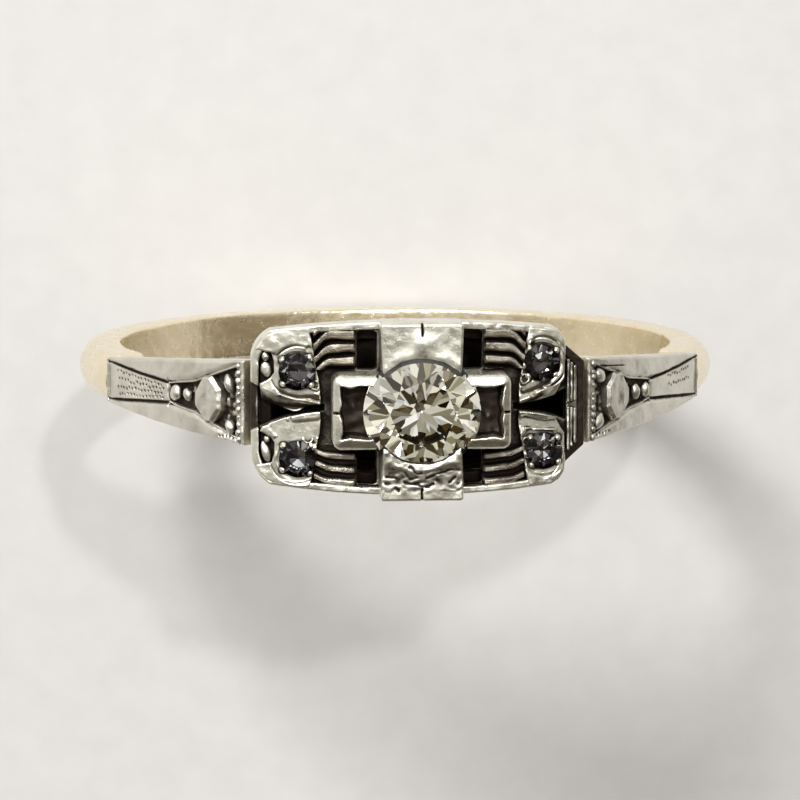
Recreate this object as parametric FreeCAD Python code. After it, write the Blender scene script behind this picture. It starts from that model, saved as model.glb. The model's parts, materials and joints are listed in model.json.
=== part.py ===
import FreeCAD, Part

import math
import os

from FreeCAD import Vector

# Engagement ring of the 1930s pattern: a yellow gold shank, platinum faced shoulders with carved studs,
# and a long platinum head that carries one brilliant in a cross of four claw plates
# and four single-cut diamonds in leaf mounts at its corners.
#
# Millimetres. The origin is the centre of the finger hole, +Y runs along the finger,
# and +Z points out of the finger through the centre diamond.

# ---- driving dimensions -------------------------------------------------------------------------
finger_radius = 8.5

shank_thickness = 1.25
shank_width = 1.45
shank_crown = 0.45              # how far the D-section's back rises above its side edges
shoulder_end_deg = 66.0         # from +Z round to where the platinum facing ends
shoulder_top = (4.95, 9.75)     # x, z of the facing's upper end, beside the head
shoulder_half_width_low = 0.66  # at the far end of the facing
shoulder_half_width_top = 1.22  # beside the head
facing_thickness = 0.45
carved_depth = 0.16             # pocket around the carved studs
stipple_depth = 0.05            # shallow stippled panel

head_half_length = 4.75
head_half_width = 2.48
end_zone_x = 4.20               # where the ribbed right end starts; the left end has beads there instead
right_end_half_width = 1.20     # the ribbed end tapers to the shoulder
dome_radius = 20.0              # curve of the head's top along the ring's width
dome_top = 11.15
rim_width = 0.22
plate_drop = 0.25               # the pierced plate's top lies this far under the rim's
plate_bottom = 0.60             # and its underside this far under the rim's top
gallery_inset_top = 0.10        # the gallery leans in towards the finger
gallery_inset_low = 0.50
gallery_top_z, gallery_low_z = 11.0, 7.0    # heights at which those two insets hold
gallery_thickness = 0.40
bearer_thickness = 0.50         # saddle plate that lies on the finger
bearer_hole_radius = 1.1

centre_diameter = 3.3
centre_girdle_z = 12.0
side_diameter = 1.06
side_centres = {                # x, y of each corner diamond, as set by hand; both as distances from the middle
    "back_right": (3.47, 1.25),
    "back_left": (3.45, 1.04),
    "front_right": (3.54, 1.27),
    "front_left": (3.45, 1.44),
}
side_girdle_drop = 0.02         # girdle under the leaf's top
seat_clearance = 0.01

claw_top = 12.17
claw_reach_ns = 2.48
claw_reach_ew = 2.50
claw_half_width_ns = 1.17
claw_half_width_ew = 1.03
claw_wall = 0.25                # outer wall of a claw plate
claw_side_wall = 0.34           # its two side walls
saw_cut = 0.10
collet_outer = 1.42
collet_inner = 1.05

leaf_rise = 0.06                # the leaf's top above the rim's
flute_x = (1.80, 2.95)
flute_y = (1.10, 2.20)
flute_count = 3

# ---- worked out from them -----------------------------------------------------------------------
shank_radius = finger_radius + shank_thickness
shoulder_end = math.radians(shoulder_end_deg)
dome_centre_z = dome_top - dome_radius

X, Y, Z = Vector(1, 0, 0), Vector(0, 1, 0), Vector(0, 0, 1)
ORIGIN = Vector(0, 0, 0)
TALL = 30.0                     # longer than anything here, for cutters


# ---- helpers ------------------------------------------------------------------------------------
def on_arc(centre, radius, angle):
    """A point of the XZ plane: angle is in radians from +Z towards +X."""
    return Vector(centre[0] + radius * math.sin(angle), 0, centre[1] + radius * math.cos(angle))


def arc(centre, radius, start, end):
    """An arc in the XZ plane between two such angles."""
    points = [on_arc(centre, radius, a) for a in (start, (start + end) / 2, end)]
    return Part.Arc(*points).toShape()


def line(a, b):
    return Part.LineSegment(a, b).toShape()


def polygon(points):
    """A face from its corners in order."""
    return Part.Face(Part.makePolygon([*points, points[0]]))


def along_y(edges, half_width):
    """The solid that a closed outline in the XZ plane sweeps from -half_width to +half_width."""
    face = Part.Face(Part.Wire(edges))
    face.translate(Vector(0, -half_width, 0))
    return face.extrude(Vector(0, 2 * half_width, 0))


def upright(face_or_points, low=-TALL, high=TALL):
    """The vertical prism on a plan outline, given as a face or as (x, y) corners."""
    if isinstance(face_or_points, Part.Face):
        face = face_or_points.copy()
    else:
        face = polygon([Vector(x, y, 0) for x, y in face_or_points])
    face.translate(Vector(0, 0, low))
    return face.extrude(Vector(0, 0, high - low))


def block(x0, x1, y0, y1, z0, z1):
    return Part.makeBox(x1 - x0, y1 - y0, z1 - z0, Vector(x0, y0, z0))


def less(shape, *cutters):
    """A shape with each cutter taken out in turn, and its faces merged after each."""
    for cutter in cutters:
        shape = shape.cut(cutter).removeSplitter()
    return shape


def finger_cylinder(radius):
    """A cylinder about the finger's axis, long enough to pass the whole ring."""
    return Part.makeCylinder(radius, TALL, Vector(0, -TALL / 2, 0), Y)


def under_dome(offset):
    """Everything under the head's domed top, moved out by offset (in if it is negative)."""
    return Part.makeCylinder(dome_radius + offset, TALL, Vector(0, -TALL / 2, dome_centre_z), Y)


def dome_z(x, offset=0.0):
    return dome_centre_z + math.sqrt((dome_radius + offset) ** 2 - x * x)


def dome_tilt_deg(x):
    return math.degrees(math.asin(x / dome_radius))


HEAD_ZONE = block(-head_half_length, head_half_length, -TALL, TALL, 10.0, TALL)
LOWER_HALF = block(-TALL, TALL, -TALL, TALL, -TALL, 5.0)    # clears away everything far under the head


def mirror_x(shape):
    return shape.mirror(ORIGIN, X)


def mirror_y(shape):
    return shape.mirror(ORIGIN, Y)


def to_corner(corner, shape):
    """A shape made at +X +Y, mirrored into the corner of that name."""
    if corner.endswith("left"):
        shape = mirror_x(shape)
    return mirror_y(shape) if corner.startswith("front") else shape


# ---- diamonds -----------------------------------------------------------------------------------
def ring_of(count, radius, z, first_deg):
    step = 360.0 / count
    angles = [math.radians(first_deg + step * i) for i in range(count)]
    return [Vector(radius * math.cos(a), radius * math.sin(a), z) for a in angles]


def solid_of(faces):
    return Part.makeSolid(Part.makeShell([polygon(f) for f in faces]))


def meet_z(from_r, from_z, to_r, to_z, radius):
    """Height, on the straight line between two points of a section, where a facet corner of that radius
    22.5 degrees to its side keeps the kite facet flat."""
    share = (radius * math.cos(math.radians(22.5)) - from_r) / (to_r - from_r)
    return from_z + share * (to_z - from_z)


def brilliant(diameter):
    """Round brilliant of 57 facets, its girdle's middle at z 0."""
    r = diameter / 2
    outer = r / math.cos(math.radians(11.25))   # the facets' sixteen corners lie just outside the round girdle
    girdle = 0.02 * diameter / 2
    table_r, table_z = 0.56 * r, 0.150 * diameter
    culet_z = -0.430 * diameter
    top = ring_of(8, table_r, table_z, 0)
    crown = ring_of(8, 0.79 * r, meet_z(table_r, table_z, outer, girdle, 0.79 * r), 22.5)
    upper = ring_of(16, outer, girdle, 0)
    lower = ring_of(16, outer, -girdle, 0)
    half_r = 0.22 * r
    halves = ring_of(8, half_r, meet_z(0, culet_z, outer, -girdle, half_r), 22.5)
    culet = Vector(0, 0, culet_z)
    faces = [top]
    for i in range(8):
        a, b, c = upper[2 * i], upper[(2 * i + 1) % 16], upper[(2 * i + 2) % 16]
        faces.append([top[i], crown[i], top[(i + 1) % 8]])
        faces.append([top[i], crown[i - 1], a, crown[i]])
        faces.append([crown[i], a, b])
        faces.append([crown[i], b, c])
        d, e, f = lower[2 * i], lower[(2 * i + 1) % 16], lower[(2 * i + 2) % 16]
        faces.append([culet, halves[i - 1], d, halves[i]])
        faces.append([halves[i], d, e])
        faces.append([halves[i], e, f])
    for i in range(16):
        j = (i + 1) % 16
        faces.append([upper[i], lower[i], lower[j], upper[j]])
    rounded = Part.makeCylinder(r, diameter, Vector(0, 0, -diameter / 2))
    return solid_of(faces).common(rounded)


def single_cut(diameter):
    """Old single cut: a table, eight crown facets and eight pavilion facets."""
    r = diameter / 2
    outer = r / math.cos(math.radians(22.5))
    girdle = 0.03 * diameter / 2
    top = ring_of(8, 0.62 * r, 0.15 * diameter, 0)
    upper = ring_of(8, outer, girdle, 0)
    lower = ring_of(8, outer, -girdle, 0)
    culet = ring_of(8, 0.06 * r, -0.40 * diameter, 0)
    faces = [top, culet]
    for i in range(8):
        j = (i + 1) % 8
        faces.append([top[i], upper[i], upper[j], top[j]])
        faces.append([upper[i], lower[i], lower[j], upper[j]])
        faces.append([lower[i], culet[i], culet[j], lower[j]])
    rounded = Part.makeCylinder(r, diameter, Vector(0, 0, -diameter / 2))
    return solid_of(faces).common(rounded)


def seat_cutter(diameter, corners, table_share, pavilion_share, reach):
    """What a setting bur takes out: a groove that clears the girdle, crown and pavilion of a stone with
    that many girdle corners, and the way in above it, out to the share of its radius that reach gives."""
    r = diameter / 2 / math.cos(math.pi / corners) + seat_clearance
    girdle = 0.03 * diameter / 2 + seat_clearance
    crown = Part.makeCone(r, table_share * r, 0.15 * diameter + seat_clearance, Vector(0, 0, girdle))
    band = Part.makeCylinder(r, 2 * girdle, Vector(0, 0, -girdle))
    depth = pavilion_share * diameter
    pavilion = Part.makeCone(0.07 * r, r, depth, Vector(0, 0, -girdle - depth))
    way_in = Part.makeCylinder(reach * r, diameter, Vector(0, 0, girdle))
    return band.fuse([crown, pavilion, way_in])


def place_centre(shape):
    placed = shape.copy()
    placed.translate(Vector(0, 0, centre_girdle_z))
    return placed


def place_side(shape, centre):
    """Puts a corner stone, or its cutter, square to the domed top at a centre in the +X +Y quarter."""
    placed = shape.copy()
    x, y = centre
    placed.rotate(ORIGIN, Y, dome_tilt_deg(x))
    placed.translate(Vector(x, y, dome_z(x, leaf_rise - side_girdle_drop)))
    return placed


# ---- shank and shoulders ------------------------------------------------------------------------
def shoulder_arc():
    """Centre and radius of the arc that leaves the shank's round back at shoulder_end, on one tangent
    with it, and runs up to shoulder_top."""
    ux, uz = math.sin(shoulder_end), math.cos(shoulder_end)
    px, pz = shoulder_top
    gap = shank_radius - (px * ux + pz * uz)
    reach = (px - shank_radius * ux) ** 2 + (pz - shank_radius * uz) ** 2
    radius = reach / (2 * gap)
    return ((shank_radius - radius) * ux, (shank_radius - radius) * uz), radius


SHOULDER_CENTRE, SHOULDER_RADIUS = shoulder_arc()


def shoulder_angle(x, depth=0.0):
    """Angle, at the shoulder arc's centre, of the point with that x at a depth under its surface."""
    return math.asin((x - SHOULDER_CENTRE[0]) / (SHOULDER_RADIUS - depth))


def shoulder_width():
    """The taper of the right shoulder, seen along X, as a solid."""
    low_z, top_z = shank_radius * math.cos(shoulder_end), shoulder_top[1]
    slope = (shoulder_half_width_top - shoulder_half_width_low) / (top_z - low_z)
    bottom_z, past_z = low_z - 2.0, top_z + 2.0
    low = shoulder_half_width_low - 2.0 * slope
    high = shoulder_half_width_top + 2.0 * slope
    corners = [(-low, bottom_z), (low, bottom_z), (high, past_z), (-high, past_z)]
    return polygon([Vector(0, y, z) for y, z in corners]).extrude(Vector(TALL, 0, 0))


def shoulder_layer(top_depth, bottom_depth, from_x):
    """The right shoulder between two depths under its surface, from an x beside the head to shoulder_end."""
    outer_r, inner_r = SHOULDER_RADIUS - top_depth, SHOULDER_RADIUS - bottom_depth
    outer_a, inner_a = shoulder_angle(from_x, top_depth), shoulder_angle(from_x, bottom_depth)
    c = SHOULDER_CENTRE
    edges = [
        arc(c, outer_r, outer_a, shoulder_end),
        line(on_arc(c, outer_r, shoulder_end), on_arc(c, inner_r, shoulder_end)),
        arc(c, inner_r, shoulder_end, inner_a),
        line(on_arc(c, inner_r, inner_a), on_arc(c, outer_r, outer_a)),
    ]
    return along_y(edges, 3.0).common(shoulder_width())


def shoulder_core():
    """Gold under the right facing, from the finger up to the facing's underside, and on into the head."""
    zero = (0, 0)
    depth = facing_thickness
    start_x = head_half_length - 1.0
    top_r = SHOULDER_RADIUS - depth
    top_a = shoulder_angle(start_x, depth)
    finger_a = math.asin(start_x / finger_radius)
    edges = [
        arc(SHOULDER_CENTRE, top_r, top_a, shoulder_end),
        line(on_arc(zero, shank_radius - depth, shoulder_end), on_arc(zero, finger_radius, shoulder_end)),
        arc(zero, finger_radius, shoulder_end, finger_a),
        line(on_arc(zero, finger_radius, finger_a), on_arc(SHOULDER_CENTRE, top_r, top_a)),
    ]
    return along_y(edges, 3.0).common(shoulder_width())


def shank():
    """Gold D-section hoop with both shoulder cores, open under the head."""
    half, edge_r = shank_width / 2, shank_radius - shank_crown
    outline = [
        line(Vector(finger_radius, -half, 0), Vector(finger_radius, half, 0)),
        line(Vector(finger_radius, half, 0), Vector(edge_r, half, 0)),
        Part.Arc(Vector(edge_r, half, 0), Vector(shank_radius, 0, 0), Vector(edge_r, -half, 0)).toShape(),
        line(Vector(edge_r, -half, 0), Vector(finger_radius, -half, 0)),
    ]
    face = Part.Face(Part.Wire(outline))
    face.rotate(ORIGIN, Y, shoulder_end_deg - 90)
    hoop = face.revolve(ORIGIN, Y, 360 - 2 * shoulder_end_deg)
    cores = [shoulder_core(), mirror_x(shoulder_core())]
    head = [leaning_head(), under_dome(0).common(HEAD_ZONE)]
    return hoop.fuse([less(core, *head) for core in cores]).removeSplitter()


def carved_outline():
    """Plan of the deep pocket round the studs, wide at the bar and narrow at the last bead."""
    return [(5.18, 0.98), (5.18, -0.98), (6.30, -0.42), (7.08, -0.27), (7.08, 0.27), (6.30, 0.42)]


def stipple_outline():
    """Plan of the shallow stippled panel, which widens again towards the far end."""
    return [(7.18, 0.22), (7.18, -0.22), (8.74, -0.50), (8.74, 0.50)]


def facing():
    """Right platinum facing with its two sunk panels."""
    plate = shoulder_layer(0, facing_thickness, shoulder_top[0])
    for outline, depth in ((carved_outline(), carved_depth), (stipple_outline(), stipple_depth)):
        plate = less(plate, upright(outline, 0, TALL).common(above_shoulder(depth)))
    return plate


def above_shoulder(depth):
    """A thick skin that starts at a depth under the right shoulder's surface and runs outwards."""
    c = SHOULDER_CENTRE
    skin = Part.makeCylinder(SHOULDER_RADIUS + 2, TALL, Vector(c[0], -TALL / 2, c[1]), Y)
    return less(skin, Part.makeCylinder(SHOULDER_RADIUS - depth, TALL, Vector(c[0], -TALL / 2, c[1]), Y))


def stand_on_shoulder(shape, x, y, depth):
    """Moves a shape made at the origin, pointing along +Z, square onto the right shoulder."""
    placed = shape.copy()
    angle = shoulder_angle(x, depth)
    foot = on_arc(SHOULDER_CENTRE, SHOULDER_RADIUS - depth, angle)
    placed.rotate(ORIGIN, Y, math.degrees(angle))
    placed.translate(Vector(foot.x, y, foot.z))
    return placed


def lozenge_stud(plate):
    """Six-sided carved stud with a bevelled top, standing in the right facing's pocket."""
    half_length, half_width, height, bevel = 0.50, 0.58, 0.22, 0.14
    def hexagon(shrink, z):
        a, b = half_length - shrink, half_width - shrink
        corners = [(a, b * 0.45), (0, b), (-a, b * 0.45), (-a, -b * 0.45), (0, -b), (a, -b * 0.45)]
        return Part.makePolygon([Vector(u, v, z) for u, v in [*corners, corners[0]]])
    sides = Part.makeLoft([hexagon(0, -0.1), hexagon(0, height - 0.08)], True, True)
    cap = Part.makeLoft([hexagon(0, height - 0.08), hexagon(bevel, height)], True, True)
    stud = sides.fuse(cap).removeSplitter()
    return less(stand_on_shoulder(stud, 5.88, 0, carved_depth), plate)


def carved_beads(plate):
    """Two corner beads beside the bar and two graduated beads past the stud, as one group."""
    places = [(5.40, 0.68, 0.19), (5.40, -0.68, 0.19), (6.46, 0, 0.17), (6.84, 0, 0.20)]
    beads = []
    for x, y, radius in places:
        ball = Part.makeSphere(radius)
        beads.append(less(stand_on_shoulder(ball, x, y, carved_depth - 0.03), plate))
    return Part.makeCompound(beads)


def milgrain_bar(plate):
    """Beaded wire across the upper end of the right facing."""
    grain, pitch, count = 0.12, 0.25, 9
    x = shoulder_top[0] + grain + 0.02
    half = pitch * (count - 1) / 2
    wire = Part.makeCylinder(0.075, 2 * half, Vector(0, -half, 0.03), Y)
    grains = [Part.makeSphere(grain, Vector(0, pitch * i - half, 0.03)) for i in range(count)]
    return less(stand_on_shoulder(wire.fuse(grains), x, 0, 0), plate)


# ---- head ---------------------------------------------------------------------------------------
def head_outline(inset=0.0):
    """Plan face of the head, drawn in by inset: long sides a little bowed, rounded-off corners at the left,
    and at the right tighter corners with a taper down the ribbed end."""
    # x, y of the back points of each half from the middle outwards, and how far each moves in x and y per
    # unit of inset
    length, width = head_half_length, head_half_width
    halves = {
        -1: [(0, width, 0, 1), (0.44 * length, width - 0.06, 0, 1), (length - 0.55, width - 0.27, 0.8, 1),
             (length - 0.19, width - 0.58, 0.9, 0.9), (length, width - 1.04, 1, 0.75)],
        1: [(0, width, 0, 1), (0.42 * length, width - 0.06, 0, 1), (3.76, width - 0.23, 0.6, 1),
            (4.05, width - 0.44, 0.9, 0.8), (end_zone_x, width - 0.80, 0.9, 0.7),
            (length, right_end_half_width, 1, 0.75)],
    }
    edges = []
    for sx, rows in halves.items():
        back = [Vector(sx * (x - inset * move_x), y - inset * move_y, 0) for x, y, move_x, move_y in rows]
        front = [Vector(v.x, -v.y, 0) for v in back]
        for side in (back, front):
            middle, bow, shoulder, turn, end = side[:5]
            edges.append(Part.Arc(middle, bow, shoulder).toShape())
            edges.append(Part.Arc(shoulder, turn, end).toShape())
            if len(side) > 5:
                edges.append(line(end, side[5]))
        edges.append(line(back[-1], front[-1]))
    return Part.Face(Part.Wire(Part.__sortEdges__(edges)))


def head_band(outer_inset, inner_inset):
    """The upright wall between two insets of the head's outline."""
    return less(upright(head_outline(outer_inset)), upright(head_outline(inner_inset)))


def leaning_head(inset=0.0):
    """The head's outline drawn in to the gallery, as a solid that leans in on its way to the finger."""
    top = head_outline(gallery_inset_top + inset).OuterWire
    low = head_outline(gallery_inset_low + inset).OuterWire
    top.translate(Vector(0, 0, gallery_top_z))
    low.translate(Vector(0, 0, gallery_low_z))
    return Part.makeLoft([low, top], True, True)


def gap_edge_y(x):
    """Half-width of the V-shaped gap between a front and a back leaf, at an x."""
    start, end = 2.70, head_half_length
    share = (x - start) / (end - start)
    return 0.07 + 0.62 * share ** 1.8


def gap_prism(end_x):
    """The V-shaped gap between a front and a back leaf, made towards +X and cut off at end_x."""
    steps = 5
    xs = [2.70 + (end_x - 2.70) * i / steps for i in range(steps + 1)]
    upper = [(x, gap_edge_y(x)) for x in xs]
    return upright(upper + [(x, -y) for x, y in reversed(upper)], 5.0, 15.0)


def head_rim():
    """Platinum frame round the head. Its top is cut down at the left where the gap opens to the end,
    and at the right along the whole ribbed end."""
    band = less(head_band(0, rim_width).common(under_dome(0)), under_dome(-plate_bottom), LOWER_HALF)
    mouth = less(mirror_x(gap_prism(head_half_length + 0.3)), under_dome(-0.34))
    step = less(block(end_zone_x, head_half_length + 0.3, -TALL, TALL, 5.0, 15.0), under_dome(-0.34))
    return less(band, mouth, step)


def pierced_plate():
    """Platinum plate inside the rim, pierced by the two V-shaped gaps, by four windows beside the front
    and back claw plates, and under each stone."""
    plate = upright(head_outline(rim_width)).common(under_dome(-plate_drop))
    plate = less(plate, under_dome(-plate_bottom), LOWER_HALF)
    window = block(1.22, 1.78, 1.08, 2.18, 5.0, 15.0)
    gaps = [gap_prism(end_zone_x), mirror_x(gap_prism(head_half_length + 0.3))]
    cuts = [Part.makeCylinder(collet_inner, 10.0, Vector(0, 0, 5.0)), *gaps]
    for corner, (x, y) in side_centres.items():
        stone_hole = Part.makeCylinder(0.42, 10.0, Vector(x, y, 5.0))
        cuts += [to_corner(corner, window), to_corner(corner, stone_hole)]
    return less(plate, *cuts)


def leaf_outline(tip_x):
    """Plan face of a back right leaf: it follows the rim, hollows in beside the end zone, and runs from a
    tip at tip_x to a lobe along the V-shaped gap."""
    full_tip, fixed_x = 4.42, 3.60
    def drawn_in(x):
        return x if x <= fixed_x else fixed_x + (x - fixed_x) * (tip_x - fixed_x) / (full_tip - fixed_x)
    p = [Vector(drawn_in(x), y, 0) for x, y in (
        (2.98, 2.17), (3.62, 2.10), (4.20, 1.90),
        (4.10, 1.40), (4.08, 0.95),
        (full_tip, 0.66),
        (3.60, 0.22), (2.78, 0.12),
        (2.84, 0.70), (2.98, 1.30), (3.04, 1.80),
    )]
    edges = [
        Part.Arc(p[0], p[1], p[2]).toShape(),
        Part.Arc(p[2], p[3], p[4]).toShape(),
        line(p[4], p[5]),
        Part.Arc(p[5], p[6], p[7]).toShape(),
        Part.Arc(p[7], p[8], p[9]).toShape(),
        line(p[9], p[0]),
    ]
    return Part.Face(Part.Wire(edges))


def leaf_mount(tip_x, centre):
    """A leaf mount in the +X +Y quarter, bored for its diamond, with the four grains that hold it."""
    leaf = upright(leaf_outline(tip_x)).common(under_dome(leaf_rise))
    leaf = less(leaf, under_dome(-plate_drop), LOWER_HALF)
    collar = Part.makeCylinder(0.68, 0.22, Vector(0, 0, -0.16))
    grains = [Part.makeSphere(0.13, Vector(v.x, v.y, 0.05)) for v in ring_of(4, 0.60, 0, 45)]
    leaf = leaf.fuse([place_side(s, centre) for s in [collar, *grains]]).removeSplitter()
    seat = place_side(seat_cutter(side_diameter, 8, 0.70, 0.40, 0.76), centre)
    return less(leaf, under_dome(-plate_drop), seat)


def end_ribs():
    """Three upright ribs across the right end of the plate, each in two lengths with a gap at the middle."""
    width, pitch, height = 0.06, 0.10, 0.17
    ribs = []
    for i in range(3):
        x = end_zone_x + 0.02 + pitch * i
        bar = block(x, x + width, 0.05, 1.60, 5.0, 15.0).common(under_dome(height - plate_drop))
        bar = less(bar.common(upright(head_outline(rim_width + 0.02))), under_dome(-plate_drop))
        ribs += [bar, mirror_y(bar)]
    return ribs


def end_beads():
    """The two beads in the hollow at a leaf's outer edge, seated on the pierced plate."""
    seats = under_dome(-plate_drop)
    small = Part.makeSphere(0.13, Vector(4.29, 1.43, dome_z(4.29, -0.12)))
    large = Part.makeSphere(0.20, Vector(4.28, 1.06, dome_z(4.28, -0.16)))
    return [less(small, seats), less(large, seats)]


def fluted_panel():
    """Back right panel of three ridges between a leaf and a window, on the pierced plate."""
    x0, x1 = flute_x
    y0, y1 = flute_y
    pitch = (y1 - y0) / flute_count
    rise, base = 0.16, -0.16
    edges = [line(Vector(0, y0, -1), Vector(0, y0, base))]
    for i in range(flute_count):
        a, b = y0 + pitch * i, y0 + pitch * (i + 1)
        foot, crest, far_foot = Vector(0, a, base), Vector(0, (a + b) / 2, base + rise), Vector(0, b, base)
        edges.append(Part.Arc(foot, crest, far_foot).toShape())
    edges += [line(Vector(0, y1, base), Vector(0, y1, -1)), line(Vector(0, y1, -1), Vector(0, y0, -1))]
    ridges = Part.Face(Part.Wire(edges)).extrude(Vector(x1 - x0, 0, 0))
    middle = (x0 + x1) / 2
    ridges.translate(Vector(-(x1 - x0) / 2, 0, 0))
    ridges.rotate(ORIGIN, Y, dome_tilt_deg(middle))
    ridges.translate(Vector(middle, 0, dome_z(middle)))
    return less(ridges, under_dome(-plate_drop))


def claw_plate(start, reach, half_width, floor_z):
    """One arm of the centre cross, made towards +X: three walls round a sunk floor, split at its middle
    by a saw cut and notched for the girdle."""
    arm = block(start, reach, -half_width, half_width, 10.0, claw_top)
    sunk_half = half_width - claw_side_wall
    sunk = block(start, reach - claw_wall, -sunk_half, sunk_half, floor_z, TALL)
    cut = block(reach - claw_wall - 0.12, reach + 1, -saw_cut / 2, saw_cut / 2, claw_top - 0.42, TALL)
    return less(arm, sunk, cut)


def claw_plates():
    """The four claw plates by name, each bedded on the rim, the plate and the collet."""
    beds = [head_rim(), pierced_plate(), under_dome(-plate_drop), Part.makeCylinder(collet_outer, TALL, ORIGIN)]
    bur = place_centre(seat_cutter(centre_diameter, 16, 0.62, 0.43, 0.93))
    made = {}
    for name, turn in (("east", 0), ("north", 90), ("west", 180), ("south", 270)):
        long_way = name in ("east", "west")
        if long_way:
            arm = claw_plate(claw_half_width_ns, claw_reach_ew, claw_half_width_ew, 11.35)
        else:
            arm = claw_plate(0.95, claw_reach_ns, claw_half_width_ns, 11.92)
        arm.rotate(ORIGIN, Z, turn)
        made[name] = less(arm, *beds, bur)
    return made


def centre_collet():
    """Round collet under the centre diamond, standing on the pierced plate."""
    tube = Part.makeCylinder(collet_outer, centre_girdle_z, ORIGIN)
    bur = place_centre(seat_cutter(centre_diameter, 16, 0.62, 0.43, 0.93))
    return less(tube, Part.makeCylinder(collet_inner, TALL, ORIGIN), under_dome(-plate_drop), bur)


# ---- gallery ------------------------------------------------------------------------------------
def bearer():
    """Gold saddle plate that lies on the finger and closes the head, with a light hole under the centre."""
    saddle = leaning_head().common(finger_cylinder(finger_radius + bearer_thickness))
    return less(saddle, finger_cylinder(finger_radius), Part.makeCylinder(bearer_hole_radius, TALL, ORIGIN))


def gallery_wall():
    """The whole gold gallery between the bearer and the plate, before it is divided."""
    band = less(leaning_head(), leaning_head(gallery_thickness)).common(under_dome(-plate_bottom))
    return less(band, finger_cylinder(finger_radius + bearer_thickness))


def arched_window(x, width, sill, crown):
    """A cutter for one arched window, seen along Y."""
    half = width / 2
    spring = crown - half * 0.75
    left, right = x - half, x + half
    corners = [Vector(a, 0, b) for a, b in ((left, sill), (left, spring), (right, spring), (right, sill))]
    edges = [
        line(corners[0], corners[1]),
        Part.Arc(corners[1], Vector(x, 0, crown), corners[2]).toShape(),
        line(corners[2], corners[3]),
        line(corners[3], corners[0]),
    ]
    return along_y(edges, TALL / 2)


def gallery_parts():
    """The gallery as it is soldered up: pierced front and back strips and two plain ends."""
    wall = gallery_wall()
    strip_half = 3.85
    middle = wall.common(block(-strip_half, strip_half, -TALL, TALL, -TALL, TALL))
    for distance, width, sill in ((0, 1.5, 9.28), (1.85, 1.45, 9.08), (3.25, 0.75, 8.72)):
        window = arched_window(distance, width, sill, dome_z(distance, -plate_bottom) - 0.22)
        middle = less(middle, window, mirror_x(window))
    far_half = block(-TALL, TALL, 0, TALL, -TALL, TALL)
    right = block(strip_half, TALL, -TALL, TALL, -TALL, TALL)
    return {
        "gallery_back": middle.common(far_half),
        "gallery_front": less(middle, far_half),
        "gallery_end_right": wall.common(right),
        "gallery_end_left": wall.common(mirror_x(right)),
    }


# ---- assembly -----------------------------------------------------------------------------------
def ring_parts():
    parts = {"shank": shank(), "finger_bearer": bearer(), "head_rim": head_rim(), "pierced_plate": pierced_plate()}
    parts.update(gallery_parts())

    plate = facing()
    for side, place in (("right", lambda s: s), ("left", mirror_x)):
        parts["shoulder_facing_" + side] = place(plate)
        parts["shoulder_stud_" + side] = place(lozenge_stud(plate))
        parts["shoulder_beads_" + side] = place(carved_beads(plate))
        parts["milgrain_bar_" + side] = place(milgrain_bar(plate))

    parts["centre_collet"] = centre_collet()
    parts["centre_diamond"] = place_centre(brilliant(centre_diameter))
    for name, arm in claw_plates().items():
        parts["claw_plate_" + name] = arm

    rim, arm = parts["head_rim"], parts["claw_plate_east"]
    inner = upright(head_outline(rim_width))
    for corner, centre in side_centres.items():
        side, tip_x = ("left", 4.42) if corner.endswith("left") else ("right", end_zone_x - 0.06)
        own_rim, own_inner = to_corner(corner, rim), to_corner(corner, inner)
        leaf = leaf_mount(tip_x, centre).common(own_inner)
        well = Part.makeCylinder(0.64, TALL, Vector(*centre, 0))
        panel = less(fluted_panel(), own_rim, leaf, arm, well)
        parts["leaf_mount_" + corner] = to_corner(corner, leaf)
        parts["corner_diamond_" + corner] = to_corner(corner, place_side(single_cut(side_diameter), centre))
        parts["fluted_panel_" + corner] = to_corner(corner, panel)

    left_leaves = [parts["leaf_mount_back_left"], parts["leaf_mount_front_left"]]
    right_leaves = [parts["leaf_mount_back_right"], parts["leaf_mount_front_right"]]
    beads = [mirror_x(bead) for bead in end_beads()]
    beads += [mirror_y(bead) for bead in beads]
    parts["end_beads_left"] = Part.makeCompound([less(bead, rim, *left_leaves) for bead in beads])
    parts["end_ribs_right"] = Part.makeCompound([less(rib, rim, *right_leaves) for rib in end_ribs()])
    return parts


os.makedirs("parts", exist_ok=True)
for node, shape in ring_parts().items():
    solids = shape.Solids
    print(f"{node:28s} solids {len(solids)}  valid {shape.isValid()}  volume {shape.Volume:.3f} mm3")
    shape.exportStep(f"parts/{node}.step")
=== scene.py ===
import json
import math

import bmesh
import bpy
import numpy as np
from mathutils import Matrix, Vector


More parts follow.
